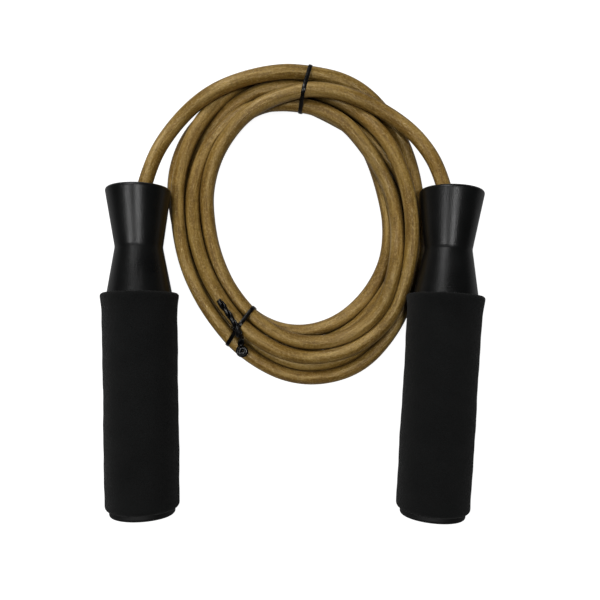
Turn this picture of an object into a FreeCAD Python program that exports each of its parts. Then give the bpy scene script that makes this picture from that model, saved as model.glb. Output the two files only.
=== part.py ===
"""Jump rope: two ball-bearing handles with foam grips on one coiled, tied rope.

Millimetres.  The rope lies on the floor at z = 0 in a coil of six turns, and a
handle lies along each side of it, mouth towards +Y.  The origin is under the
middle of the two handles.  Each handle is drawn along its own +Z axis, from
its butt at 0 to its mouth, and is then laid down by its Placement.
"""
import FreeCAD
import Part
import Sketcher

import math
import os

from FreeCAD import Placement, Rotation, Vector

SIZES = {
    "handle_length": 167.3, "head_length": 53.5,
    "rim_radius": 16.7, "rim_round": 1.5,
    "waist_radius": 12.1, "waist_depth": 30.0, "waist_blend": 5.0,
    "neck_radius": 16.4,
    "core_radius": 16.0, "core_bore": 13.0, "waist_bore": 8.5,
    "taper_start": 36.0, "taper_end": 52.0,
    "foam_radius": 19.0, "foam_round": 1.8,
    "cap_radius": 16.6, "cap_lip": 3.0, "cap_round": 1.6,
    "cap_plug": 12.0, "cap_wall": 1.8,
    "bush_radius": 11.6, "bush_recess": 1.0, "bush_mouth": 9.8, "bush_throat": 7.2,
    "shield_gap": 0.6, "slot_width": 2.4, "slot_depth": 1.6,
    "bearing_depth": 14.0, "bearing_width": 6.0, "bearing_radius": 11.0, "bearing_bore": 5.0,
    "outer_track": 9.0, "inner_track": 7.0, "pitch_radius": 8.0,
    "ball_radius": 1.5, "groove_radius": 1.55, "ball_count": 10,
    "cage_inner": 7.35, "cage_outer": 8.65, "cage_width": 5.0, "cage_pocket": 1.6,
    "spindle_bore": 4.3, "spindle_nose": 0.5, "flange_radius": 6.6, "flange_width": 1.5,
    "washer_width": 1.0, "ferrule_radius": 5.4, "ferrule_length": 10.0,
    "rope_radius": 3.75, "rope_tail": 1.5,
    "coil_height": 18.0, "coil_round": 3.2,
    "tie_width": 2.0, "tie_thickness": 0.9, "tie_floor_gap": 0.05,
    "tail_radius": 1.7, "tail_sink": 0.3,
    "loop_neck_radius": 1.2, "loop_radius": 2.4, "wire_radius": 0.6,
}

# Where each handle's mouth is, and how far its mouth leans to the right of +Y.
HANDLES = {
    "left": {"mouth": (-79.6, 84.1), "lean": -0.8},
    "right": {"mouth": (81.9, 83.0), "lean": 3.5},
}

# Each lead's route after the straight stretch in its handle, from the mouth to the coil.
LEAD_ROUTES = {
    "left": [(-73.6, 98.6, 14.6), (-67.8, 113.5, 10.3), (-58.0, 127.0, 7.6),
             (-46.0, 136.3, 8.0), (-32.5, 142.8, 8.5)],
    "right": [(75.9, 96.8, 16.3), (68.0, 110.0, 14.8), (57.5, 119.5, 14.2),
              (43.5, 128.5, 15.0), (29.0, 134.5, 15.5)],
}
BEND_DEPTH = 9.5

# How much of the shorter run beside a corner its round may take.
ROUND_SHARE = 0.45

# Corners of the coil's outline and of the space inside it, clockwise from the top.
COIL_OUTSIDE = [
    (2, 154.5), (28, 147.5), (49, 134), (63.5, 114), (65.0, 86), (65.8, 60), (64.6, 42),
    (57.6, 27), (53, 6), (40, -10), (18, -18.5), (-3, -17.5), (-22, -7), (-39, 9.5),
    (-53, 29), (-61.8, 52), (-61.9, 72), (-63.0, 97), (-61.8, 115), (-50.5, 130.5), (-27, 148),
]
COIL_INSIDE = [
    (2, 131), (23, 122.5), (40, 104), (48.8, 80), (49.2, 57), (41, 35), (25, 19.5),
    (5, 14), (-15, 17), (-28, 31.5), (-37.8, 52), (-43, 72), (-42.5, 90), (-33.5, 109.5),
    (-17, 127),
]

# Each tie's plane: the point where it crosses the inner and the outer side of the coil.
TIES = {
    "top": {"inner": (4.2, 128.6), "outer": (10.2, 153.2)},
    "bottom": {"inner": (-21.8, 22.1), "outer": (-34.3, 4.8)},
}

# The bottom tie's twisted ends: where they start, the tip of one and the loop in the other.
KNOT = (-28.5, 11.6)
TAIL_TIP = (-36.6, 25.0)
LOOP = (-26.3, 0.6)

# Heights along a handle, as sums of sizes.
MOUTH = "handle_length"
NECK = "handle_length - head_length"
WAIST = "handle_length - waist_depth"
RACE_FRONT = "handle_length - bearing_depth"
RACE_BACK = "handle_length - bearing_depth - bearing_width"
FLANGE_BACK = RACE_BACK + " - flange_width"
WASHER_BACK = FLANGE_BACK + " - washer_width"
FERRULE_BACK = WASHER_BACK + " - ferrule_length"
ROPE_END = FERRULE_BACK + " - rope_tail"

# Two lengths closer than this are the same, and a cutter passes this far through.
SAME = 1e-4
OVERSHOOT = 0.5

doc = FreeCAD.newDocument("jump_rope")
pieces = []


def fill_sheet():
    """Put every driving size in the sheet, one aliased cell each."""
    sheet = doc.addObject("Spreadsheet::Sheet", "Dims")
    for row, (name, value) in enumerate(SIZES.items(), start=1):
        sheet.set(f"A{row}", name)
        sheet.set(f"B{row}", str(value))
        sheet.setAlias(f"B{row}", name)
    doc.recompute()


def number(formula):
    """The value of a sum of sizes, such as 'handle_length - cap_lip'."""
    total = 0.0
    sign = 1
    for word in formula.split():
        if word in ("+", "-"):
            sign = 1 if word == "+" else -1
        elif word != "0":
            total += sign * SIZES[word]
    return total


def bound(formula):
    """The same sum as an expression on the sheet."""
    words = (f"Dims.{word}" if word in SIZES else word for word in formula.split())
    return " ".join(words)


def bind(item, prop, formula):
    item.setExpression(prop, bound(formula))


def origin_feature(body, role):
    for feature in body.Origin.OriginFeatures:
        if feature.Role == role:
            return feature
    raise RuntimeError(f"{body.Label} has no {role}")


def keep(item, label):
    """Name a finished sub-part, and list it for the export."""
    item.Label = label
    pieces.append(item)
    return item


def half_section(body, corners):
    """A closed sketch of (radius, height) corners in the body's XZ plane, tied to the sheet."""
    sketch = body.newObject("Sketcher::SketchObject", f"{body.Name}_section")
    sketch.AttachmentSupport = [(origin_feature(body, "XZ_Plane"), "")]
    sketch.MapMode = "FlatFace"
    points = [Vector(number(radius), number(height), 0) for radius, height in corners]
    count = len(points)
    for index, point in enumerate(points):
        sketch.addGeometry(Part.LineSegment(point, points[(index + 1) % count]), False)
    for index in range(count):
        after = (index + 1) % count
        sketch.addConstraint(Sketcher.Constraint("Coincident", index, 2, after, 1))
    for index, (radius, height) in enumerate(corners):
        for kind, formula in (("DistanceX", radius), ("DistanceY", height)):
            if formula == "0":
                axis = -2 if kind == "DistanceX" else -1
                sketch.addConstraint(Sketcher.Constraint("PointOnObject", index, 1, axis))
                continue
            size = number(formula)
            made = sketch.addConstraint(Sketcher.Constraint(kind, -1, 1, index, 1, size))
            sketch.setExpression(f"Constraints[{made}]", bound(formula))
    return sketch


def revolved(name, corners):
    """A body turned about its own Z axis from a half section."""
    body = doc.addObject("PartDesign::Body", name)
    sketch = half_section(body, corners)
    turn = body.newObject("PartDesign::Revolution", f"{name}_turn")
    turn.Profile = sketch
    turn.ReferenceAxis = (sketch, ["V_Axis"])
    turn.Angle = 360
    doc.recompute()
    return body


def round_edges(body, radius_name, places):
    """Fillet the round edges that lie at the given (radius, height) formulas."""
    wanted = [(number(radius), number(height)) for radius, height in places]
    base = body.Tip
    names = []
    for index, edge in enumerate(base.Shape.Edges, start=1):
        curve = edge.Curve
        if not isinstance(curve, Part.Circle):
            continue
        for radius, height in wanted:
            if abs(curve.Radius - radius) < SAME and abs(curve.Center.z - height) < SAME:
                names.append(f"Edge{index}")
    if len(names) < len(wanted):
        raise RuntimeError(f"{body.Label}: an edge to round is missing")
    fillet = body.newObject("PartDesign::Fillet", f"{body.Name}_{radius_name}")
    fillet.Base = (base, names)
    bind(fillet, "Radius", radius_name)
    body.Tip = fillet
    doc.recompute()


def add_feature(body, kind, name, sizes, place=None):
    """Add a PartDesign primitive to a body, its sizes tied to the sheet."""
    feature = body.newObject(f"PartDesign::{kind}", name)
    for prop, formula in sizes.items():
        bind(feature, prop, formula)
    if place is not None:
        feature.Placement = place
    doc.recompute()
    return feature


def make_shell(name):
    """One-piece hourglass head and core tube, with the bearing's seat in its mouth."""
    body = revolved(name, [
        ("core_bore", "cap_lip"), ("core_radius", "cap_lip"), ("core_radius", NECK),
        ("neck_radius", NECK), ("waist_radius", WAIST), ("rim_radius", MOUTH),
        ("bush_radius", MOUTH), ("bush_radius", RACE_FRONT), ("bearing_radius", RACE_FRONT),
        ("bearing_radius", RACE_BACK), ("waist_bore", RACE_BACK),
        ("waist_bore", "handle_length - taper_start"), ("core_bore", "handle_length - taper_end"),
    ])
    round_edges(body, "waist_blend", [("waist_radius", WAIST)])
    round_edges(body, "rim_round", [("rim_radius", MOUTH)])
    return body


def make_foam(name):
    """Foam sleeve over the core tube, its ends rounded."""
    body = revolved(name, [
        ("core_radius", "cap_lip"), ("foam_radius", "cap_lip"),
        ("foam_radius", NECK), ("core_radius", NECK),
    ])
    round_edges(body, "foam_round", [("foam_radius", "cap_lip"), ("foam_radius", NECK)])
    return body


def make_cap(name):
    """Press-in butt cap: a lip over the tube's end and a cup inside the tube."""
    plug_top = "cap_lip + cap_plug"
    cup = "core_bore - cap_wall"
    body = revolved(name, [
        ("0", "0"), ("cap_radius", "0"), ("cap_radius", "cap_lip"), ("core_bore", "cap_lip"),
        ("core_bore", plug_top), (cup, plug_top), (cup, "cap_lip"), ("0", "cap_lip"),
    ])
    round_edges(body, "cap_round", [("cap_radius", "0")])
    return body


def make_bush(name):
    """Flared bush pressed in the mouth: it guides the rope and holds the bearing."""
    front = "handle_length - bush_recess"
    lip = RACE_FRONT + " + shield_gap"
    body = revolved(name, [
        ("bush_mouth", front), ("bush_radius", front), ("bush_radius", RACE_FRONT),
        ("outer_track + shield_gap", RACE_FRONT), ("outer_track + shield_gap", lip),
        ("bush_throat", lip),
    ])
    bottom = number(front) - SIZES["slot_depth"]
    corner = Vector(-SIZES["bush_radius"], -SIZES["slot_width"] / 2, bottom)
    add_feature(body, "SubtractiveBox", f"{name}_spanner_slots",
                {"Length": "bush_radius + bush_radius", "Width": "slot_width",
                 "Height": "slot_depth"}, Placement(corner, Rotation()))
    return body


def make_race(name, wall, track):
    """One bearing race: a ring with the ball groove turned in it."""
    inner, outer = sorted((wall, track), key=number)
    middle = number(RACE_BACK) + SIZES["bearing_width"] / 2
    ring = doc.addObject("Part::Cylinder", f"{name}_ring")
    hole = doc.addObject("Part::Cylinder", f"{name}_hole")
    for cylinder, radius in ((ring, outer), (hole, inner)):
        bind(cylinder, "Radius", radius)
        bind(cylinder, "Height", "bearing_width")
        cylinder.Placement.Base = Vector(0, 0, number(RACE_BACK))
    groove = doc.addObject("Part::Torus", f"{name}_groove")
    bind(groove, "Radius1", "pitch_radius")
    bind(groove, "Radius2", "groove_radius")
    groove.Placement.Base = Vector(0, 0, middle)
    bare = doc.addObject("Part::Cut", f"{name}_bare")
    bare.Base = ring
    bare.Tool = hole
    race = doc.addObject("Part::Cut", name)
    race.Base = bare
    race.Tool = groove
    doc.recompute()
    return race


def make_balls(name):
    """The bearing's balls, evenly spaced in the groove."""
    middle = number(RACE_BACK) + SIZES["bearing_width"] / 2
    count = int(SIZES["ball_count"])
    balls = []
    for index in range(count):
        ball = doc.addObject("Part::Sphere", f"{name}_{index}")
        bind(ball, "Radius", "ball_radius")
        around = Rotation(Vector(0, 0, 1), 360.0 * index / count)
        start = Vector(SIZES["pitch_radius"], 0, middle)
        ball.Placement = Placement(around.multVec(start), around)
        balls.append(ball)
    group = doc.addObject("Part::Compound", name)
    group.Links = balls
    doc.recompute()
    return group


def make_cage(name):
    """Ball cage: a thin ring with a round pocket for each ball."""
    middle = number(RACE_BACK) + SIZES["bearing_width"] / 2
    ring = doc.addObject("Part::Cylinder", f"{name}_ring")
    hole = doc.addObject("Part::Cylinder", f"{name}_hole")
    for cylinder, radius in ((ring, "cage_outer"), (hole, "cage_inner")):
        bind(cylinder, "Radius", radius)
        bind(cylinder, "Height", "cage_width")
        cylinder.Placement.Base = Vector(0, 0, middle - SIZES["cage_width"] / 2)
    pockets = []
    count = int(SIZES["ball_count"])
    for index in range(count):
        pocket = doc.addObject("Part::Sphere", f"{name}_pocket_{index}")
        bind(pocket, "Radius", "cage_pocket")
        around = Rotation(Vector(0, 0, 1), 360.0 * index / count)
        start = Vector(SIZES["pitch_radius"], 0, middle)
        pocket.Placement = Placement(around.multVec(start), around)
        pockets.append(pocket)
    cutters = doc.addObject("Part::MultiFuse", f"{name}_cutters")
    cutters.Shapes = [hole] + pockets
    cage = doc.addObject("Part::Cut", name)
    cage.Base = ring
    cage.Tool = cutters
    doc.recompute()
    return cage


def make_spindle(name):
    """Flanged sleeve in the inner race, with the rope through it."""
    nose = RACE_FRONT + " + spindle_nose"
    return revolved(name, [
        ("spindle_bore", nose), ("bearing_bore", nose), ("bearing_bore", RACE_BACK),
        ("flange_radius", RACE_BACK), ("flange_radius", FLANGE_BACK), ("spindle_bore", FLANGE_BACK),
    ])


def make_washer(name):
    """Plain washer between the spindle's flange and the ferrule."""
    return revolved(name, [
        ("spindle_bore", FLANGE_BACK), ("flange_radius", FLANGE_BACK),
        ("flange_radius", WASHER_BACK), ("spindle_bore", WASHER_BACK),
    ])


def make_ferrule(name):
    """Sleeve crimped on the rope's end, which stops it in the handle."""
    return revolved(name, [
        ("rope_radius", WASHER_BACK), ("ferrule_radius", WASHER_BACK),
        ("ferrule_radius", FERRULE_BACK), ("rope_radius", FERRULE_BACK),
    ])


def handle_axis(side):
    """The handle's direction, butt to mouth, and its mouth's centre."""
    lean = math.radians(HANDLES[side]["lean"])
    along = Vector(math.sin(lean), math.cos(lean), 0)
    x, y = HANDLES[side]["mouth"]
    return along, Vector(x, y, SIZES["foam_radius"])


def handle_place(side):
    along, mouth = handle_axis(side)
    butt = mouth - along * SIZES["handle_length"]
    return Placement(butt, Rotation(Vector(0, 0, 1), along))


def make_handle(side):
    """All the pieces of one handle, each laid down in its place."""
    place = handle_place(side)
    made = [
        (make_shell, "handle_shell"), (make_foam, "foam_grip"), (make_cap, "end_cap"),
        (make_bush, "mouth_bush"), (make_balls, "bearing_balls"), (make_cage, "bearing_cage"),
        (make_spindle, "spindle"), (make_washer, "thrust_washer"), (make_ferrule, "rope_ferrule"),
    ]
    for maker, label in made:
        name = f"{label}_{side}"
        keep(maker(f"{name}_piece"), name).Placement = place
    for label, wall, track in (("bearing_outer_race", "bearing_radius", "outer_track"),
                               ("bearing_inner_race", "bearing_bore", "inner_track")):
        name = f"{label}_{side}"
        keep(make_race(f"{name}_piece", wall, track), name).Placement = place


def arc_at(before, corner, after):
    """The round at a corner between two runs: its start, middle, end and radius."""
    run_in = before - corner
    run_out = after - corner
    shorter = min(run_in.Length, run_out.Length)
    setback = ROUND_SHARE * shorter
    run_in.normalize()
    run_out.normalize()
    half_turn = (math.pi - run_in.getAngle(run_out)) / 2
    radius = setback / math.tan(half_turn)
    bisector = run_in + run_out
    bisector.normalize()
    centre = corner + bisector * (radius / math.cos(half_turn))
    middle = centre - bisector * radius
    return corner + run_in * setback, middle, corner + run_out * setback, radius


def rounded_wire(points, closed=False):
    """Straight runs joined by tangent arcs along the points."""
    count = len(points)
    corners = range(count) if closed else range(1, count - 1)
    arcs = [arc_at(points[i - 1], points[i], points[(i + 1) % count]) for i in corners]
    edges = []
    last = None if closed else points[0]
    if closed:
        last = arcs[-1][2]
    for start, middle, end, _ in arcs:
        edges.append(Part.LineSegment(last, start).toShape())
        edges.append(Part.Arc(start, middle, end).toShape())
        last = end
    if not closed:
        edges.append(Part.LineSegment(last, points[-1]).toShape())
    return Part.Wire(edges), [arc[3] for arc in arcs]


def make_lead(side):
    """The rope's end: out of its ferrule, through the mouth and down to the coil."""
    along, mouth = handle_axis(side)
    end_depth = SIZES["handle_length"] - number(ROPE_END)
    points = [mouth - along * end_depth, mouth - along * BEND_DEPTH]
    points += [Vector(*point) for point in LEAD_ROUTES[side]]
    path, radii = rounded_wire(points)
    section = Part.Wire([Part.makeCircle(SIZES["rope_radius"], points[0], along)])
    tube = path.makePipeShell([section], True, False)
    expected = path.Length * math.pi * SIZES["rope_radius"] ** 2
    runs = [round((b - a).Length, 1) for a, b in zip(points, points[1:])]
    print(f"lead {side}: length {path.Length:.1f}, runs {runs}, radii {[round(r) for r in radii]}, "
          f"volume {tube.Volume / expected:.4f} of section x length")
    item = doc.addObject("Part::Feature", f"rope_lead_{side}_piece")
    item.Shape = tube
    return keep(item, f"rope_lead_{side}")


def coil_body():
    """The coil's ring, its four rims rounded like the rope."""
    outside = Part.Face(rounded_wire([Vector(x, y, 0) for x, y in COIL_OUTSIDE], True)[0])
    inside = Part.Face(rounded_wire([Vector(x, y, 0) for x, y in COIL_INSIDE], True)[0])
    height = SIZES["coil_height"]
    ring = outside.cut(inside).extrude(Vector(0, 0, height))
    rims = [edge for edge in ring.Edges if edge.BoundBox.ZLength < height / 2]
    return ring.makeFillet(SIZES["coil_round"], rims)


def tie_frame(where):
    """A tie's plane: its middle on the floor, its direction across the coil and along it."""
    inner = Vector(*TIES[where]["inner"], 0)
    outer = Vector(*TIES[where]["outer"], 0)
    across = outer - inner
    length = across.Length
    across.normalize()
    along = across.cross(Vector(0, 0, 1))
    return (inner + outer) / 2, across, along, length


def rounded_box(centre, across, along, width, low, high, corner, depth):
    """A block across the coil whose four long edges are rounded."""
    corners = [(-width / 2, low), (width / 2, low), (width / 2, high), (-width / 2, high)]
    start = centre - along * (depth / 2)
    points = [start + across * u + Vector(0, 0, w) for u, w in corners]
    block = Part.Face(Part.makePolygon(points + points[:1])).extrude(along * depth)
    long_edges = [edge for edge in block.Edges
                  if abs(edge.tangentAt(edge.FirstParameter).dot(along)) > 1 - SAME]
    return block.makeFillet(corner, long_edges)


def tie_band(where):
    """A closed band round the coil, a hair above the floor."""
    centre, across, along, length = tie_frame(where)
    thick = SIZES["tie_thickness"]
    low = SIZES["tie_floor_gap"]
    high = SIZES["coil_height"] + thick
    wide = SIZES["tie_width"]
    outer = rounded_box(centre, across, along, length + thick, low, high,
                        SIZES["coil_round"] + thick, wide)
    inner = rounded_box(centre, across, along, length - thick, low + thick, high - thick,
                        SIZES["coil_round"], wide + 2 * OVERSHOOT)
    return outer.cut(inner)


def tie_tails():
    """The bottom tie's twisted ends, lying on the coil: one straight, one with a loop."""
    radius = SIZES["tail_radius"]
    height = SIZES["coil_height"] + SIZES["tie_thickness"] - SIZES["tail_sink"] + radius
    knot = Vector(*KNOT, height)
    tip = Vector(*TAIL_TIP, height)
    loop = Vector(*LOOP, height)
    tail = Part.makeCylinder(radius, (tip - knot).Length, knot, tip - knot)
    reach = (loop - knot).Length - SIZES["loop_radius"]
    neck = Part.makeCylinder(SIZES["loop_neck_radius"], reach, knot, loop - knot)
    ring = Part.makeTorus(SIZES["loop_radius"], SIZES["wire_radius"], loop)
    return Part.makeSphere(radius, knot).fuse([tail, Part.makeSphere(radius, tip), neck, ring])


def make_coil_and_ties():
    """The coil, notched where each tie presses into it, and the two ties."""
    coil = coil_body()
    for where in TIES:
        band = tie_band(where)
        coil = coil.cut(band)
        shape = band
        if where == "bottom":
            shape = band.fuse(tie_tails())
        item = doc.addObject("Part::Feature", f"wire_tie_{where}_piece")
        item.Shape = shape.removeSplitter()
        keep(item, f"wire_tie_{where}")
    item = doc.addObject("Part::Feature", "rope_coil_piece")
    item.Shape = coil
    keep(item, "rope_coil")


def check_and_export():
    """Refuse a failed feature or a bad shape, then write one STEP file for each sub-part."""
    doc.recompute()
    for item in doc.Objects:
        if "Invalid" in item.State or "Error" in item.State:
            raise RuntimeError(f"{item.Label} failed: {item.State}")
    os.makedirs("parts", exist_ok=True)
    for item in pieces:
        shape = item.Shape
        if shape.isNull() or not shape.isValid():
            raise RuntimeError(f"{item.Label} has no valid shape")
        box = shape.BoundBox
        print(f"{item.Label:26s} {len(shape.Solids):3d} solids {shape.Volume:10.1f} mm3  "
              f"x {box.XMin:7.2f} {box.XMax:7.2f}  y {box.YMin:7.2f} {box.YMax:7.2f}  "
              f"z {box.ZMin:6.2f} {box.ZMax:6.2f}")
        shape.exportStep(f"parts/{item.Label}.step")


fill_sheet()
for side_name in HANDLES:
    make_handle(side_name)
    make_lead(side_name)
make_coil_and_ties()
check_and_export()
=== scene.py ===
"""Looks of the jump rope: a coiled leather rope, its two wire ties and its two handles.

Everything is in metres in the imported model's frame.  Sizes and points that are
written in millimetres go through MM.  The camera and the rope come first, and
then the ties, the foam grips and the materials of the kept CAD parts.
"""

import math

import bpy
import numpy as np
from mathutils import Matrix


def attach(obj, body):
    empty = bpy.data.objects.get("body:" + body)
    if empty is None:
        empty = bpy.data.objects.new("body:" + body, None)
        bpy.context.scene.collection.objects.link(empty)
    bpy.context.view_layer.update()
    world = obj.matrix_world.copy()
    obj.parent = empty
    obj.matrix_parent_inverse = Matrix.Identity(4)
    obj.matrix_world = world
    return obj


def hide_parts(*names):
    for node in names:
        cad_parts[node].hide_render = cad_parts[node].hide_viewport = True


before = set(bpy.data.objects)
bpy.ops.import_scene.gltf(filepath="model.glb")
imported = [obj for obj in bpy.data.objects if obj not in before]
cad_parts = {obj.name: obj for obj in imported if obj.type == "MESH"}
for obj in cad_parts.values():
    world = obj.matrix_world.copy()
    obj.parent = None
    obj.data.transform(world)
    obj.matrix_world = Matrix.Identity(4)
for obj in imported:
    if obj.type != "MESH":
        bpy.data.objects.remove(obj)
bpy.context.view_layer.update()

MM = 0.001
UP = np.array([0, 0, 1.0])

# ---------------------------------------------------------------- camera

CAMERA_PLACE = (3.7, 4.9, 340.0)
CAMERA_LENS = 37.4
CAMERA_SENSOR = 36.0
CAMERA_SHIFT = 0.0717
CAMERA_NEAR = 0.01


def make_camera():
    """A camera straight above the object, its frame shifted towards the top of the coil."""
    data = bpy.data.cameras.new("camera")
    data.lens = CAMERA_LENS
    data.sensor_width = CAMERA_SENSOR
    data.shift_y = CAMERA_SHIFT
    data.clip_start = CAMERA_NEAR
    camera = bpy.data.objects.new("camera", data)
    camera.location = [x * MM for x in CAMERA_PLACE]
    bpy.context.scene.collection.objects.link(camera)
    bpy.context.scene.camera = camera


# ---------------------------------------------------------------- rope

ROPE_RADIUS = 3.75
ROPE_SIDES = 24
ROUTE_RESOLUTION = 12
# How far behind each handle's mouth the rope ends, bends towards the axis and counts as
# leaving the handle, and how high both handles' axes are.
ROPE_END_DEPTH = 34.0
BEND_DEPTH = 9.5
AXIS_HEIGHT = 19.0

# Each handle's mouth, and how far it leans to the right of +Y, as in the CAD.
HANDLES = {
    "left": {"mouth": (-79.6, 84.1), "lean": -0.8},
    "right": {"mouth": (81.9, 83.0), "lean": 3.5},
}
# The handle's outer radius at each depth behind its mouth, and none beyond its ends.
HANDLE_DEPTHS = [-0.1, 0, 30, 53.5, 53.6, 167.3, 167.4]
HANDLE_RADII = [0, 16.7, 12.1, 16.4, 19.4, 19.4, 0]

# The leads' routes outside the handles, from the mouth to where the coil takes over, and
# how many of each lead's points next to the coil may settle with it.
LEFT_LEAD = [(-74.2, 98.2, 14.8), (-67.9, 113.2, 10.3), (-57.4, 126.0, 10.3),
             (-43.8, 133.4, 16.2), (-30.3, 140.4, 18.0), (-14.0, 145.2, 17.0)]
LEFT_FREE = 3
RIGHT_LEAD = [(75.2, 96.6, 16.5), (67.2, 109.5, 15.6), (56.6, 119.0, 16.5),
              (43.4, 126.9, 18.5), (29.9, 132.4, 20.0), (16.8, 135.2, 20.5),
              (3.3, 135.7, 20.0)]
RIGHT_FREE = 4

# The coil: for each turn the distance from its middle and the height of the rope's
# centre at 16 stations, clockwise from 12 o'clock.
COIL_MIDDLE = (2.6, 68.0)
# A quadratic spline runs this much inside its control points.
SPLINE_REACH = 1.02
TURNS = [
    # Over the top from the left lead, then low along the outside, all the way round.
    [(77.2, 16.5), (78.8, 12.5), (72.9, 8.0), (67.2, 4), (64, 4), (67.8, 4), (74.6, 4),
     (82.8, 4), (82, 4), (72.8, 7), (64.8, 10.5), (62.2, 11), (62.4, 10.5), (67.5, 11),
     (74.0, 10.5), (78.5, 4.5)],
    # On the floor, hidden under the outer turns.
    [(80.5, 4), (76, 4), (65.6, 4), (59.7, 4), (56.4, 4), (58.2, 4), (67.2, 4), (75.8, 4),
     (74.8, 4), (65.5, 4), (60, 4), (58, 4), (63, 4), (72, 4), (76.8, 4), (75.5, 4)],
    # On the floor along the inside.
    [(74, 4), (65, 4), (53.2, 4), (49, 4), (48.8, 4), (50.8, 4), (53.2, 4), (56, 4),
     (57.6, 4), (57.5, 4), (52.5, 4), (50, 4), (50.5, 4), (55.5, 4), (60.3, 4), (67.8, 4)],
    # Between the inner and the outer turns, deep in the gap at the upper left.
    [(66.5, 4), (59.2, 4), (59.2, 8.8), (60.3, 11), (60.5, 11), (58.8, 8.6), (60.0, 4),
     (63, 4), (65, 4), (61.5, 8), (56, 8), (54, 6), (56.3, 6), (61.6, 5), (68.8, 4.5),
     (73.2, 8.5)],
    # On top at the right, and outside at the left.
    [(72.5, 10.5), (67, 10.5), (61.6, 14.5), (58.5, 17), (58.5, 17.5), (63.6, 17.5),
     (71.2, 12), (72.2, 11), (70.6, 10.5), (63, 11), (56.2, 11), (53.8, 11.5), (54.7, 11.5),
     (58.6, 11.5), (63.3, 12), (66.7, 11.5)],
    # On top along the inside, rising to cross the top under the tie.
    [(62.9, 11), (59, 10.5), (52.3, 13.2), (51.4, 12), (52.3, 11), (56.5, 11),
     (63.5, 11.5), (65.6, 11), (62.8, 11), (56, 11), (49.7, 11), (46.5, 11), (46.9, 11),
     (51.4, 12), (56.8, 15), (62.3, 19)],
]

# How the turns settle.  TOUCHING is the distance between the centres of two turns that
# press on each other, and points of the rope less than APART from each other along it
# don't press.  A point less than IN_MOUTH from a handle's axis is in its mouth.
TOUCHING = 7.2
APART = 8 * ROPE_RADIUS
HANDLE_GAP = 0.3
IN_MOUTH = 9
SETTLE_STEPS = 160
SETTLE_SAMPLES = 6
# In each step, the share of an overlap that is undone, the share of the way back to the
# written route, and the drop.
PUSH_SHARE = 0.6
PULL_BACK = (0.02, 0.02, 0.006)
DROP = 0.01


def handle_axis(side):
    """The handle's mouth, and its direction from butt to mouth, in millimetres."""
    lean = math.radians(HANDLES[side]["lean"])
    x, y = HANDLES[side]["mouth"]
    return np.array([x, y, AXIS_HEIGHT]), np.array([math.sin(lean), math.cos(lean), 0.0])


def in_handle(side, depth):
    """The point on the handle's axis at this depth behind its mouth."""
    mouth, along = handle_axis(side)
    return mouth - along * depth


def rope_points():
    """The route's control points, from one handle to the other, and which of them may settle."""
    points = [in_handle("left", ROPE_END_DEPTH), in_handle("left", BEND_DEPTH)]
    points += LEFT_LEAD
    first = len(points) - LEFT_FREE
    for turn in TURNS:
        for station, (radius, height) in enumerate(turn):
            angle = 2 * math.pi * station / len(turn)
            reach = SPLINE_REACH * radius
            points.append((COIL_MIDDLE[0] + reach * math.sin(angle),
                           COIL_MIDDLE[1] + reach * math.cos(angle), height))
    last = len(points) + RIGHT_FREE
    points += reversed(RIGHT_LEAD)
    points += [in_handle("right", BEND_DEPTH), in_handle("right", ROPE_END_DEPTH)]
    free = np.zeros(len(points), bool)
    free[first:last] = True
    return np.array(points, float), free


def spline_weights(count, samples):
    """How much each control point of a clamped quadratic spline counts at each sample."""
    spans = count - 2
    just_inside = 1e-9
    knots = np.concatenate([[0, 0], np.arange(spans + 1), [spans, spans]]).astype(float)
    places = np.linspace(0, spans - just_inside, spans * samples + 1)
    basis = [((places >= a) & (places < b)).astype(float) for a, b in zip(knots, knots[1:])]
    for degree in (1, 2):
        raised = []
        for i in range(len(basis) - 1):
            rise = knots[i + degree] - knots[i]
            fall = knots[i + degree + 1] - knots[i + 1]
            value = np.zeros(len(places))
            if rise > 0:
                value += (places - knots[i]) / rise * basis[i]
            if fall > 0:
                value += (knots[i + degree + 1] - places) / fall * basis[i + 1]
            raised.append(value)
        basis = raised
    return np.stack(basis, axis=1)


def lengths_along(line):
    """How far along the line each of its points is."""
    steps = np.linalg.norm(np.diff(line, axis=0), axis=1)
    return np.concatenate([[0], np.cumsum(steps)])


def apart_from_turns(line, one, other):
    """The moves that undo half of each overlap between two turns, for both of them."""
    gap = line[one] - line[other]
    distance = np.linalg.norm(gap, axis=1)
    hit = distance < TOUCHING
    push = gap[hit] / distance[hit][:, None] * (TOUCHING - distance[hit])[:, None] / 2
    move = np.zeros_like(line)
    touches = np.zeros(len(line))
    for index, sign in ((one[hit], 1), (other[hit], -1)):
        np.add.at(move, index, sign * push)
        np.add.at(touches, index, 1)
    return move / np.maximum(touches, 1)[:, None]


def away_from_handle(line, side):
    """The moves that take the line out of a handle, except where it is in the mouth."""
    mouth, axis = handle_axis(side)
    away = line - mouth
    depth = -(away @ axis)
    away += depth[:, None] * axis
    distance = np.linalg.norm(away, axis=1)
    room = np.interp(depth, HANDLE_DEPTHS, HANDLE_RADII) + ROPE_RADIUS + HANDLE_GAP
    inside = (distance < room) & (distance > IN_MOUTH)
    share = np.where(inside, room / np.maximum(distance, IN_MOUTH) - 1, 0)
    return away * share[:, None]


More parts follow.
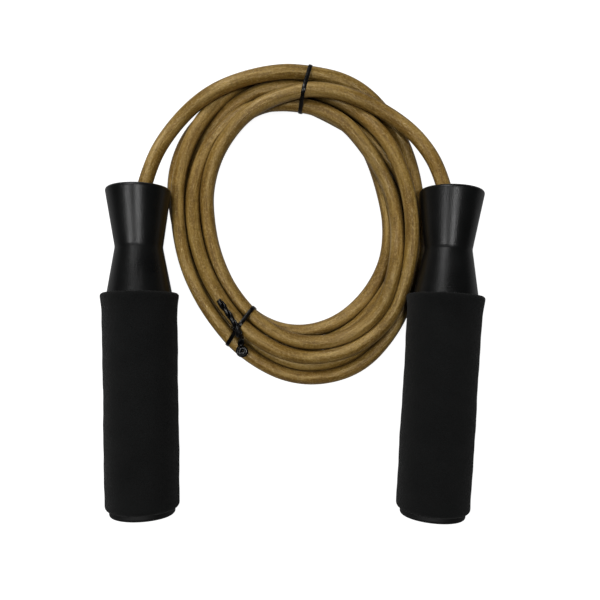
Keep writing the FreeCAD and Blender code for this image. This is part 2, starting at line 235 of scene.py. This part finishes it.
def settle(points, free):
    """Press the turns apart until they lie beside and on each other, on the floor and clear
    of the handles, and let them drop."""
    weights = spline_weights(len(points), SETTLE_SAMPLES)
    share = (weights ** 2).sum(axis=0)[:, None]
    along = lengths_along(weights @ points)
    one, other = np.triu_indices(len(along), 1)
    apart = np.abs(along[one] - along[other]) > APART
    one, other = one[apart], other[apart]
    wanted = points.copy()
    for _ in range(SETTLE_STEPS):
        line = weights @ points
        move = apart_from_turns(line, one, other)
        for side in HANDLES:
            move += away_from_handle(line, side)
        move[:, 2] += np.maximum(ROPE_RADIUS - line[:, 2], 0)
        change = PUSH_SHARE * (weights.T @ move) / share
        change += (wanted - points) * PULL_BACK
        change[:, 2] -= DROP
        points = points + change * free[:, None]
        points[:, 2] = np.maximum(points[:, 2], ROPE_RADIUS)
    return points


def route_line(points):
    """Points read from the smooth NURBS curve through the route, in metres."""
    data = bpy.data.curves.new("rope_route", "CURVE")
    data.dimensions = "3D"
    data.resolution_u = ROUTE_RESOLUTION
    spline = data.splines.new("NURBS")
    spline.points.add(len(points) - 1)
    for item, point in zip(spline.points, points):
        item.co = (*(point * MM), 1.0)
    spline.order_u = 3
    spline.use_endpoint_u = True
    curve = bpy.data.objects.new("rope_route", data)
    bpy.context.scene.collection.objects.link(curve)
    mesh = bpy.data.meshes.new_from_object(curve)
    line = np.array([v.co for v in mesh.vertices])
    bpy.data.objects.remove(curve)
    bpy.data.meshes.remove(mesh)
    return line


# ---------------------------------------------------------------- mesh making


def directions(line, closed=False):
    """Unit tangents along a line."""
    if closed:
        tangent = np.roll(line, -1, axis=0) - np.roll(line, 1, axis=0)
    else:
        tangent = np.gradient(line, axis=0)
    return tangent / np.linalg.norm(tangent, axis=1)[:, None]


def carried_frames(line):
    """A normal and a binormal along the line that never twist about it."""
    tangent = directions(line)
    normal = np.cross(tangent[0], UP)
    normal /= np.linalg.norm(normal)
    normals = [normal]
    for t in tangent[1:]:
        normal = normals[-1] - t * (normals[-1] @ t)
        normals.append(normal / np.linalg.norm(normal))
    normals = np.array(normals)
    return normals, np.cross(tangent, normals)


def add_mesh(name, points, faces, coords=None):
    """A smooth mesh object; coords is stored as the point attribute 'surface'."""
    mesh = bpy.data.meshes.new(name)
    mesh.from_pydata([tuple(p) for p in points], [], faces)
    mesh.polygons.foreach_set("use_smooth", [True] * len(mesh.polygons))
    if coords is not None:
        attribute = mesh.attributes.new("surface", "FLOAT_VECTOR", "POINT")
        attribute.data.foreach_set("vector", np.asarray(coords, np.float32).ravel())
    mesh.update()
    item = bpy.data.objects.new(name, mesh)
    bpy.context.scene.collection.objects.link(item)
    return item


def round_angles(count):
    """Even angles round a full turn."""
    return np.arange(count) * 2 * math.pi / count


def ring_faces(rings, sides, closed=False):
    """Quads between neighbouring rings, numbered ring by ring."""
    faces = []
    for i in range(rings if closed else rings - 1):
        after = (i + 1) % rings
        for j in range(sides):
            k = (j + 1) % sides
            faces.append((i * sides + j, i * sides + k, after * sides + k, after * sides + j))
    return faces


def capped_faces(rings, sides):
    """The faces of a tube and of its two closed ends."""
    last = (rings - 1) * sides
    ends = [tuple(range(sides))[::-1], tuple(range(last, last + sides))]
    return ring_faces(rings, sides) + ends


def ripple(waves, along, angle):
    """The sum of (height, pace along, lobes round, phase) waves over a round skin."""
    return sum(height * np.sin(pace * along + lobes * angle + phase)
               for height, pace, lobes, phase in waves)


# A leather cord is never quite round, nor quite even along its length: shares of its
# radius, per metre.
ROPE_WAVES = [(0.0060, 91, 2, 0), (0.0042, 263, 1, 1), (0.0036, 37, -2, 2), (0.0018, 811, 3, 0)]


def rope_mesh(line):
    """The rope's tube along a line with closed ends, and its skin's own coordinates: the
    point on its round section, and the length along it."""
    normal, binormal = carried_frames(line)
    along = lengths_along(line)[:, None]
    angle = round_angles(ROPE_SIDES)
    radius = ROPE_RADIUS * MM
    size = radius * (1 + ripple(ROPE_WAVES, along, angle))
    points = (line[:, None, :] + (size * np.cos(angle))[:, :, None] * normal[:, None, :]
              + (size * np.sin(angle))[:, :, None] * binormal[:, None, :])
    coords = np.stack([np.broadcast_to(radius * np.cos(angle), size.shape),
                       np.broadcast_to(radius * np.sin(angle), size.shape),
                       np.broadcast_to(along, size.shape)], axis=2)
    faces = capped_faces(len(line), ROPE_SIDES)
    return add_mesh("rope", points.reshape(-1, 3), faces, coords.reshape(-1, 3))


def make_rope():
    """The whole rope, and the line that it follows."""
    points, free = rope_points()
    line = route_line(settle(points, free))
    rope = rope_mesh(line)
    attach(rope, "rope")
    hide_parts("rope_lead_left", "rope_lead_right", "rope_coil")
    return rope, line


make_camera()
rope, rope_line = make_rope()

# ---------------------------------------------------------------- ties

# Each tie's plane: where it crosses the inner and the outer side of the coil.
TIES = {
    "top": {"inner": (4.2, 128.6), "outer": (10.2, 153.2)},
    "bottom": {"inner": (-21.8, 22.1), "outer": (-34.3, 4.8)},
}
# The band, how far it presses into the rope, and how far from its middle strands are held.
TIE_WIDTH = 2.1
TIE_THICKNESS = 0.75
TIE_PRESS = 0.15
TIE_REACH = 30
BAND_STEP = 0.6
BAND_SIDES = 12
# The band's section is a circle drawn out to a rounded oblong by these powers.
BAND_FLATNESS = 0.6
BAND_SQUARENESS = 0.8
STRAND_SIDES = 48

# The bottom tie's twisted ends: a thin plastic coat, ridged over its wire core.
WIRE_WIDTH = 2.4
WIRE_THICKNESS = 1.4
WIRE_RIDGE = 0.3
RIDGE_WIDTH = 0.4
WIRE_SIDES = 12
WIRE_TIP = 0.6
TWIST = 2 * math.pi / 0.0115
# Each tail's route from above, and how far its two wires are off it at each end.
TAILS = [
    {"route": [(-27.0, 9.2), (-28.2, 11.8), (-29.9, 15.0), (-33.2, 20.2), (-36.2, 24.3),
               (-38.2, 27.1)], "offsets": (0.55, 0.95)},
    {"route": [(-30.0, 13.6), (-28.6, 11.2), (-27.6, 8.4), (-27.0, 5.6), (-27.6, 3.0)],
     "offsets": (0.75, 0.95)},
]
TAIL_LIFT = 1.1
TAIL_SAMPLES = 16
# How far from a tail's line rope under it counts, and the spans its height is evened over.
TAIL_REACH = 1.2
TAIL_SPANS = (25, 13)
# The lower tail's end is rolled up flat in a little spiral that rises inwards.
CURL = {"middle": (-26.5, 0.6), "outside": 2.5, "inside": 0.7, "turns": 1.8, "start": 2.2,
        "reach": 0.8, "lift": 0.5, "rise": 0.9, "samples": 60}


def tie_frame(where):
    """The tie plane's middle on the floor, its direction across the coil, and along the rope."""
    inner = np.array([*TIES[where]["inner"], 0.0]) * MM
    outer = np.array([*TIES[where]["outer"], 0.0]) * MM
    across = (outer - inner) / np.linalg.norm(outer - inner)
    return (inner + outer) / 2, across, np.cross(across, UP)


def strands_at(where):
    """Where the rope crosses the tie's plane: (distance across, height) of each strand."""
    middle, across, along = tie_frame(where)
    side = (rope_line - middle) @ along
    found = []
    for i in np.flatnonzero(side[:-1] * side[1:] <= 0):
        share = side[i] / (side[i] - side[i + 1])
        point = rope_line[i] + (rope_line[i + 1] - rope_line[i]) * share
        reach = (point - middle) @ across
        if abs(reach) < TIE_REACH * MM:
            found.append((reach, point[2]))
    return found


def hull(points):
    """The convex outline of flat points, anticlockwise."""
    points = sorted(map(tuple, points))

    def chain(items):
        kept = []
        for p in items:
            while len(kept) > 1:
                (ax, ay), (bx, by) = kept[-2:]
                if (bx - ax) * (p[1] - ay) - (by - ay) * (p[0] - ax) > 0:
                    break
                kept.pop()
            kept.append(p)
        return kept[:-1]

    return np.array(chain(points) + chain(points[::-1]))


def evenly(outline, step):
    """The same closed outline with points at an even step."""
    closed = np.vstack([outline, outline[:1]])
    along = lengths_along(closed)
    places = np.linspace(0, along[-1], int(along[-1] / step), endpoint=False)
    return np.stack([np.interp(places, along, closed[:, k]) for k in (0, 1)], axis=1)


def band_outline(where):
    """The line that a tie pulled tight takes round the strands, in its own plane."""
    angle = round_angles(STRAND_SIDES)
    reach = (ROPE_RADIUS + TIE_THICKNESS / 2 - TIE_PRESS) * MM
    circle = reach * np.stack([np.cos(angle), np.sin(angle)], axis=1)
    points = np.vstack([np.array(strand) + circle for strand in strands_at(where)])
    outline = evenly(hull(points), BAND_STEP * MM)
    outline[:, 1] = np.maximum(outline[:, 1], TIE_THICKNESS / 2 * MM)
    return outline


def drawn_out(wave, power):
    """A sine or cosine whose size is raised to a power."""
    return np.sign(wave) * np.abs(wave) ** power


def band_mesh(where):
    """The flat band round the strands: points and faces of its rounded section."""
    middle, across, along = tie_frame(where)
    outline = band_outline(where)
    line = middle + outline[:, :1] * across + outline[:, 1:] * UP
    outward = np.cross(along, directions(line, closed=True))
    outward *= np.sign(((line - line.mean(axis=0)) * outward).sum(axis=1))[:, None]
    angle = round_angles(BAND_SIDES)
    flat = drawn_out(np.cos(angle), BAND_FLATNESS) * TIE_WIDTH / 2 * MM
    thick = drawn_out(np.sin(angle), BAND_SQUARENESS) * TIE_THICKNESS / 2 * MM
    points = (line[:, None, :] + flat[None, :, None] * along
              + thick[None, :, None] * outward[:, None, :])
    return points.reshape(-1, 3), ring_faces(len(line), BAND_SIDES, closed=True)


def height_over(place, reach):
    """The highest point of the rope within reach of a place, seen from above."""
    distance = np.linalg.norm(rope_line[:, :2] - place[:2], axis=1) - reach
    near = distance < ROPE_RADIUS * MM
    distance = np.maximum(distance[near], 0)
    return np.max(rope_line[near, 2] + np.sqrt((ROPE_RADIUS * MM) ** 2 - distance ** 2))


def evened(values, span):
    """Each value as the mean of the span round it."""
    return np.convolve(np.pad(values, span // 2, mode="edge"), np.ones(span) / span, mode="valid")


def laid_on_rope(places):
    """A smooth line through flat (x, y) places in millimetres, lying on the rope."""
    line = spline_weights(len(places), TAIL_SAMPLES) @ np.array([(x, y, 0) for x, y in places])
    line *= MM
    height = np.array([height_over(point, TAIL_REACH * MM) for point in line])
    wide, narrow = TAIL_SPANS
    line[:, 2] = evened(np.maximum(evened(height, wide), height) + TAIL_LIFT * MM, narrow)
    return line


def coated_wire(line, twist, start, offset_in, offset_out):
    """Points and faces of a flat plastic-coated wire wound round a line.  twist is in
    radians per metre, and the two offsets are how far off the line it starts and ends."""
    normal, binormal = carried_frames(line)
    turn = start + twist * lengths_along(line)
    out = np.cos(turn)[:, None] * normal + np.sin(turn)[:, None] * binormal
    flat_way = np.cross(directions(line), out)
    centre = line + out * np.linspace(offset_in, offset_out, len(line))[:, None] * MM
    angle = round_angles(WIRE_SIDES)
    wide = np.cos(angle) * WIRE_WIDTH / 2 * MM
    core = 1 + WIRE_RIDGE * np.exp(-(np.cos(angle) / RIDGE_WIDTH) ** 2)
    thick = np.sin(angle) * core * WIRE_THICKNESS / 2 * MM
    taper = np.ones(len(line))
    taper[[0, -1]] = WIRE_TIP
    points = (centre[:, None, :]
              + (taper[:, None] * wide)[:, :, None] * flat_way[:, None, :]
              + (taper[:, None] * thick)[:, :, None] * out[:, None, :])
    return points.reshape(-1, 3), capped_faces(len(line), WIRE_SIDES)


def curl():
    """The line of the lower tail's rolled-up end."""
    share = np.linspace(0, 1, CURL["samples"])
    angle = CURL["start"] + 2 * math.pi * CURL["turns"] * share
    radius = (CURL["outside"] + (CURL["inside"] - CURL["outside"]) * share) * MM
    x, y = np.array(CURL["middle"]) * MM
    line = np.stack([x + radius * np.cos(angle), y + radius * np.sin(angle),
                     np.zeros(len(share))], axis=1)
    highest = max(height_over(point, CURL["reach"] * MM) for point in line)
    line[:, 2] = highest + (CURL["lift"] + CURL["rise"] * share) * MM
    return line


def joined(parts):
    """Several (points, faces) as one."""
    points = []
    faces = []
    for more, quads in parts:
        base = sum(len(p) for p in points)
        points.append(more)
        faces += [tuple(base + i for i in quad) for quad in quads]
    return np.vstack(points), faces


def make_tie(where):
    """The band of a wire tie, and at the bottom its twisted ends."""
    parts = [band_mesh(where)]
    if where == "bottom":
        tails = [(laid_on_rope(tail["route"]), tail["offsets"]) for tail in TAILS]
        for half in (0, math.pi):
            parts += [coated_wire(line, TWIST, half, *offsets) for line, offsets in tails]
        parts.append(coated_wire(curl(), 0, math.pi / 2, 0, 0))
    points, faces = joined(parts)
    tie = add_mesh(f"tie_{where}", points, faces, points)
    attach(tie, "rope")
    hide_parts(f"wire_tie_{where}")
    return tie


ties = [make_tie(where) for where in TIES]

# ---------------------------------------------------------------- foam grips

FOAM_RADIUS = 18.85
FOAM_BORE = 16.05
BORE_MARGIN = 0.1
FOAM_TOP = 53.6
FOAM_BOTTOM = 164.3
FOAM_SIDES = 144
FOAM_RINGS = 120
# The top end swells by FOAM_FLARE, which dies away over FLARE_LENGTH.
FOAM_FLARE = 1.0
FLARE_LENGTH = 4.5
FLARE_POWER = 1.5
# The rounding of the top and the bottom edge, and how many points make each.
TOP_ROUND = 1.5
TOP_STEPS = 6
BOTTOM_ROUND = 2.8
BOTTOM_STEPS = 8
# Uneven places in the foam, in millimetres, and how high its flattened side lies.
FOAM_LUMPS = [(0.10, 0.11, 2, 0), (0.07, 0.23, -3, 1), (0.04, 0.61, 5, 2)]
FOAM_REST = 0.05


def foam_profile():
    """(radius, depth) from the top end's bore, over the outside, to the bottom end, whose
    edge is rounded in as far as the bore."""
    profile = [(FOAM_BORE, FOAM_TOP)]
    edge = FOAM_RADIUS + FOAM_FLARE - TOP_ROUND
    start = FOAM_TOP + TOP_ROUND
    for angle in np.linspace(0, math.pi / 2, TOP_STEPS):
        profile.append((edge + TOP_ROUND * math.sin(angle), start - TOP_ROUND * math.cos(angle)))
    stop = FOAM_BOTTOM - BOTTOM_ROUND
    for depth in np.linspace(start, stop, FOAM_RINGS)[1:-1]:
        swell = FOAM_FLARE * math.exp(-((depth - start) / FLARE_LENGTH) ** FLARE_POWER)
        profile.append((FOAM_RADIUS + swell, depth))
    edge = FOAM_RADIUS - BOTTOM_ROUND
    for angle in np.linspace(math.pi / 2, 0, BOTTOM_STEPS):
        profile.append((edge + BOTTOM_ROUND * math.sin(angle),
                        stop + BOTTOM_ROUND * math.cos(angle)))
    return np.array(profile)


def make_foam(side):
    """The foam sleeve: flared where its cut top end swells, uneven, and flat where it lies."""
    mouth, along = handle_axis(side)
    across = np.cross(along, UP)
    profile = foam_profile()
    angle = round_angles(FOAM_SIDES)
    radius, depth = profile[:, :1], profile[:, 1:]
    skin = radius > FOAM_BORE + BORE_MARGIN
    radius = radius + skin * ripple(FOAM_LUMPS, depth, angle)
    points = (mouth + across * (radius * np.cos(angle))[:, :, None]
              - along * depth[:, :, None] + UP * (radius * np.sin(angle))[:, :, None])
    points[:, :, 2] = np.maximum(points[:, :, 2], FOAM_REST)
    coords = points.reshape(-1, 3) * MM
    faces = ring_faces(len(profile), FOAM_SIDES, closed=True)
    foam = add_mesh(f"foam_sleeve_{side}", coords, faces, coords)
    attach(foam, f"handle_{side}")
    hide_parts(f"foam_grip_{side}")
    return foam


foams = [make_foam(side) for side in HANDLES]

# ---------------------------------------------------------------- materials


class Paint:
    """A procedural material being put together round one Principled shader.  Its patterns'
    scales are in cells per metre."""

    def __init__(self, name, attribute=None):
        """attribute is the mesh attribute that patterns follow, or none for the object's
        own coordinates."""
        self.material = bpy.data.materials.new(name)
        self.material.use_nodes = True
        self.tree = self.material.node_tree
        self.surface = self.tree.nodes["Principled BSDF"]
        if attribute:
            source = self.node("ShaderNodeAttribute", attribute_name=attribute)
            self.coords = source.outputs["Vector"]
        else:
            self.coords = self.node("ShaderNodeTexCoord").outputs["Object"]

    def node(self, kind, inputs=None, **settings):
        """A new node with these settings and these inputs, values or other nodes' outputs."""
        item = self.tree.nodes.new(kind)
        for name, value in settings.items():
            setattr(item, name, value)
        for name, value in (inputs or {}).items():
            self.put(item.inputs[name], value)
        return item

    def put(self, socket, value):
        """Set an input, or link it to another node's output."""
        if isinstance(value, bpy.types.NodeSocket):
            self.tree.links.new(value, socket)
        else:
            socket.default_value = value

    def noise(self, scale, detail, rough, stretch=(1, 1, 1)):
        """Cloudy noise; a stretch below 1 draws it out along that axis."""
        coords = self.node("ShaderNodeMapping", {"Vector": self.coords, "Scale": stretch})
        return self.node("ShaderNodeTexNoise", {
            "Vector": coords.outputs["Vector"], "Scale": scale, "Detail": detail,
            "Roughness": rough}).outputs["Fac"]

    def cells(self, scale):
        """How far each point is from the middle of its cell."""
        return self.node("ShaderNodeTexVoronoi", {
            "Vector": self.coords, "Scale": scale}).outputs["Distance"]

    def spread(self, value, low, high, to_low=0.0, to_high=1.0):
        """Map low..high to to_low..to_high, and hold it there."""
        return self.node("ShaderNodeMapRange", {
            "Value": value, "From Min": low, "From Max": high,
            "To Min": to_low, "To Max": to_high}).outputs["Result"]

    def blend(self, share, first, second):
        """Mix two colours."""
        item = self.node("ShaderNodeMix", data_type="RGBA")
        factor, colour_a, colour_b = item.inputs[0], item.inputs[6], item.inputs[7]
        self.put(factor, share)
        self.put(colour_a, first)
        self.put(colour_b, second)
        return item.outputs[2]

    def tint(self, tone, colour, value, low, high, to_low, to_high):
        """Tint a tone where a pattern's value lies between low and high, by a share that
        goes from to_low to to_high."""
        return self.blend(self.spread(value, low, high, to_low, to_high), tone, colour)

    def mottled(self, value, dark, light, low=0.3, high=0.7):
        """From dark to light as a pattern's value goes from low to high."""
        return self.blend(self.spread(value, low, high), dark, light)

    def bump(self, height, distance, strength, after=None):
        """Relief of this height in metres, on top of the relief before it."""
        inputs = {"Height": height, "Distance": distance, "Strength": strength}
        if after is not None:
            inputs["Normal"] = after
        return self.node("ShaderNodeBump", inputs).outputs["Normal"]

    def finish(self, **sockets):
        """Set the shader's inputs; an underscore in a name stands for a space."""
        for name, value in sockets.items():
            self.put(self.surface.inputs[name.replace("_", " ")], value)
        return self.material


HIDE_DARK = (0.190, 0.108, 0.0170, 1)
HIDE_LIGHT = (0.325, 0.196, 0.0390, 1)
HIDE_RUSSET = (0.290, 0.152, 0.0300, 1)
FIBRE_LIGHT = (0.54, 0.37, 0.125, 1)
FIBRE_DARK = (0.090, 0.048, 0.008, 1)
STREAK_LIGHT = (0.50, 0.33, 0.105, 1)
STREAK_DARK = (0.130, 0.062, 0.009, 1)
PORE_LIGHT = (0.60, 0.43, 0.17, 1)
PORE_DARK = (0.070, 0.038, 0.008, 1)
CREASE_DARK = (0.08, 0.043, 0.008, 1)
# Painted shade: the dark colour painted into the gaps between the turns, and how near another
# turn must be for it.
PAINTED_SHADE_DARK = (0.030, 0.017, 0.005, 1)
PAINTED_SHADE_REACH = 0.007
WAX_TINT = (1.0, 0.84, 0.56, 1)


def leather():
    """Waxed tan hide: mottled, with fibres and rubbed streaks along it, pores, fine creases
    across it and a broken shine.  Painted shade darkens its colour in the gaps between the turns."""
    paint = Paint("rope_leather", "surface")
    mottle = paint.noise(110, 4, 0.6, (1, 1, 0.4))
    tone = paint.mottled(mottle, HIDE_DARK, HIDE_LIGHT, 0.35, 0.65)
    stretches = paint.noise(9, 2, 0.5, (0.3, 0.3, 1))
    tone = paint.tint(tone, HIDE_RUSSET, stretches, 0.40, 0.62, 0, 0.6)
    fibres = paint.noise(900, 4, 0.65, (1, 1, 0.12))
    tone = paint.tint(tone, FIBRE_LIGHT, fibres, 0.52, 0.64, 0, 0.42)
    tone = paint.tint(tone, FIBRE_DARK, fibres, 0.36, 0.48, 0.40, 0)
    streaks = paint.noise(330, 2, 0.5, (1, 1, 0.10))
    tone = paint.tint(tone, STREAK_LIGHT, streaks, 0.50, 0.66, 0, 0.55)
    tone = paint.tint(tone, STREAK_DARK, streaks, 0.34, 0.48, 0.45, 0)
    pores = paint.noise(1500, 2, 0.6, (1, 1, 0.6))
    tone = paint.tint(tone, PORE_LIGHT, pores, 0.54, 0.68, 0, 0.45)
    tone = paint.tint(tone, PORE_DARK, pores, 0.32, 0.45, 0.4, 0)
    creases = paint.noise(750, 2, 0.6, (0.2, 0.2, 1.0))
    tone = paint.tint(tone, CREASE_DARK, creases, 0.30, 0.40, 0.3, 0)
    # Painted shade: where ambient occlusion finds other turns close by, the colour is darkened to
    # stand in for the shade between the turns.
    painted_shade_ao = paint.node("ShaderNodeAmbientOcclusion", {"Distance": PAINTED_SHADE_REACH}, samples=8)
    tone = paint.tint(tone, PAINTED_SHADE_DARK, painted_shade_ao.outputs["AO"], 0.15, 0.62, 0.85, 0)
    relief = paint.bump(fibres, 0.0004, 0.9)
    relief = paint.bump(streaks, 0.0005, 0.8, relief)
    relief = paint.bump(pores, 0.0002, 0.8, relief)
    relief = paint.bump(creases, 0.0002, 0.5, relief)
    shine = paint.spread(fibres, 0.38, 0.62, 0.46, 0.24)
    return paint.finish(Base_Color=tone, Roughness=shine, Normal=relief, Specular_IOR_Level=0.6,
                        Specular_Tint=WAX_TINT)


def vinyl():
    """The wire ties' glossy black plastic coat."""
    paint = Paint("tie_plastic", "surface")
    smear = paint.noise(350, 3, 0.6)
    tone = paint.blend(smear, (0.0010, 0.0009, 0.0008, 1), (0.0035, 0.0032, 0.0030, 1))
    relief = paint.bump(paint.noise(900, 2, 0.5), 0.00008, 0.6)
    shine = paint.spread(smear, 0.3, 0.7, 0.22, 0.38)
    return paint.finish(Base_Color=tone, Roughness=shine, Normal=relief, Specular_IOR_Level=0.4)


def satin_plastic(name, dark, light, smoothest, roughest, grain):
    """Moulded black plastic with a fine eroded texture, faint rubbed patches, and scratches
    across it.  grain is the texture's scale."""
    paint = Paint(name)
    patches = paint.noise(55, 3, 0.6)
    tone = paint.mottled(patches, dark, light)
    relief = paint.bump(paint.noise(grain, 3, 0.6), 0.00010, 0.8)
    relief = paint.bump(paint.noise(280, 3, 0.6), 0.00006, 0.8, relief)
    worn = paint.spread(patches, 0.3, 0.7, smoothest, roughest)
    scratched = paint.spread(paint.noise(240, 2, 0.5, (1, 0.08, 1)), 0.55, 0.8, 0, 0.08)
    rough = paint.node("ShaderNodeMath", {0: worn, 1: scratched}, operation="ADD")
    return paint.finish(Base_Color=tone, Roughness=rough.outputs["Value"], Normal=relief,
                        Specular_IOR_Level=0.38)


def foam_rubber():
    """Closed-cell foam: matt, near black, its cut cells just visible."""
    paint = Paint("grip_foam", "surface")
    cells = paint.cells(2100)
    patches = paint.noise(60, 3, 0.6)
    tone = paint.mottled(patches, (0.0050, 0.0054, 0.0053, 1), (0.0080, 0.0085, 0.0083, 1))
    tone = paint.tint(tone, (0.002, 0.002, 0.002, 1), cells, 0.1, 0.6, 0.6, 0)
    relief = paint.bump(cells, 0.00025, 0.9)
    relief = paint.bump(paint.noise(420, 4, 0.65), 0.0003, 0.7, relief)
    return paint.finish(Base_Color=tone, Roughness=0.92, Normal=relief, Specular_IOR_Level=0.15,
                        Sheen_Weight=0.06, Sheen_Roughness=0.5)


def metal(name, dark, light, smoothest, roughest):
    """Turned metal: faint tool rings, and a little tarnish."""
    paint = Paint(name)
    tarnish = paint.noise(180, 3, 0.6)
    tone = paint.mottled(tarnish, dark, light)
    rings = paint.noise(2500, 2, 0.5, (0.15, 1, 0.15))
    return paint.finish(Base_Color=tone, Metallic=1.0, Normal=paint.bump(rings, 0.00003, 0.5),
                        Roughness=paint.spread(tarnish, 0.3, 0.7, smoothest, roughest))


def dress(item, material):
    """Give every material slot of a piece this material."""
    item.data.materials.clear()
    item.data.materials.append(material)


def dress_all():
    """Every piece's and every kept CAD part's finish."""
    shell = satin_plastic("handle_plastic", (0.0035, 0.0038, 0.0038, 1),
                          (0.0060, 0.0063, 0.0063, 1), 0.27, 0.35, 1500)
    cap = satin_plastic("cap_plastic", (0.0020, 0.0021, 0.0021, 1),
                        (0.0040, 0.0042, 0.0041, 1), 0.55, 0.65, 1500)
    bush = satin_plastic("bush_nylon", (0.030, 0.031, 0.032, 1), (0.046, 0.047, 0.048, 1),
                         0.38, 0.48, 1900)
    steel = metal("bearing_steel", (0.50, 0.50, 0.51, 1), (0.66, 0.66, 0.67, 1), 0.16, 0.28)
    brass = metal("spindle_brass", (0.58, 0.40, 0.17, 1), (0.78, 0.58, 0.27, 1), 0.22, 0.36)
    aluminium = metal("ferrule_aluminium", (0.62, 0.62, 0.63, 1), (0.78, 0.78, 0.79, 1),
                      0.30, 0.42)
    finishes = {
        "handle_shell": shell, "end_cap": cap, "mouth_bush": bush,
        "bearing_outer_race": steel, "bearing_inner_race": steel, "bearing_balls": steel,
        "thrust_washer": steel, "bearing_cage": brass, "spindle": brass,
        "rope_ferrule": aluminium,
    }
    for kind, finish in finishes.items():
        for side in HANDLES:
            dress(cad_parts[f"{kind}_{side}"], finish)
    for pieces, finish in (([rope], leather()), (ties, vinyl()), (foams, foam_rubber())):
        for piece in pieces:
            dress(piece, finish)


dress_all()

# ---------------------------------------------------------------- floor and light

FLOOR_HALF = 3.0
FLOOR_GREY = (0.3, 0.3, 0.3, 1)
FLOOR_ROUGHNESS = 0.9
WHITE = (1, 1, 1, 1)
# How bright the floor and the room are as light on the object, and as seen directly.
FLOOR_LIGHT = 0.08
FLOOR_SEEN = 0.95
ROOM_LIGHT = 0.04
ROOM_SEEN = 0.85
# Each soft box: its place, its side and its power.
SOFT_BOXES = [
    ((-0.36, -0.05, 0.66), 0.12, 1.2),
    ((0.10, -0.03, 0.85), 0.12, 1.7),
    ((-0.25, 0.74, 0.60), 0.40, 3.8),
]
LIGHTS_AIM = (0, 0.04, 0)


def make_floor():
    """A white floor that throws only a little of its light back up at the object."""
    corners = [(-FLOOR_HALF, -FLOOR_HALF, 0), (FLOOR_HALF, -FLOOR_HALF, 0),
               (FLOOR_HALF, FLOOR_HALF, 0), (-FLOOR_HALF, FLOOR_HALF, 0)]
    floor = add_mesh("floor", corners, [(0, 1, 2, 3)])
    paint = Paint("floor_white")
    seen = paint.node("ShaderNodeLightPath").outputs["Is Camera Ray"]
    glow = paint.spread(seen, 0, 1, FLOOR_LIGHT, FLOOR_SEEN)
    dress(floor, paint.finish(Base_Color=FLOOR_GREY, Roughness=FLOOR_ROUGHNESS,
                              Emission_Color=WHITE, Emission_Strength=glow))


def make_lights():
    """The soft boxes, aimed at the coil."""
    for number, (place, side, power) in enumerate(SOFT_BOXES):
        data = bpy.data.lights.new(f"soft_box_{number}", "AREA")
        data.size = side
        data.energy = power
        light = bpy.data.objects.new(data.name, data)
        light.location = place
        aim = bpy.data.objects.new(f"aim_{number}", None)
        aim.location = LIGHTS_AIM
        track = light.constraints.new("TRACK_TO")
        track.target = aim
        track.track_axis = "TRACK_NEGATIVE_Z"
        track.up_axis = "UP_Y"
        for item in (light, aim):
            bpy.context.scene.collection.objects.link(item)


def make_room():
    """An even pale room round the object."""
    world = bpy.data.worlds.new("room")
    world.use_nodes = True
    tree = world.node_tree
    background = tree.nodes["Background"]
    background.inputs["Color"].default_value = WHITE
    seen = tree.nodes.new("ShaderNodeLightPath").outputs["Is Camera Ray"]
    strength = tree.nodes.new("ShaderNodeMapRange")
    strength.inputs["To Min"].default_value = ROOM_LIGHT
    strength.inputs["To Max"].default_value = ROOM_SEEN
    tree.links.new(seen, strength.inputs["Value"])
    tree.links.new(strength.outputs["Result"], background.inputs["Strength"])
    bpy.context.scene.world = world
    bpy.context.scene.view_settings.view_transform = "Standard"


make_floor()
make_lights()
make_room()
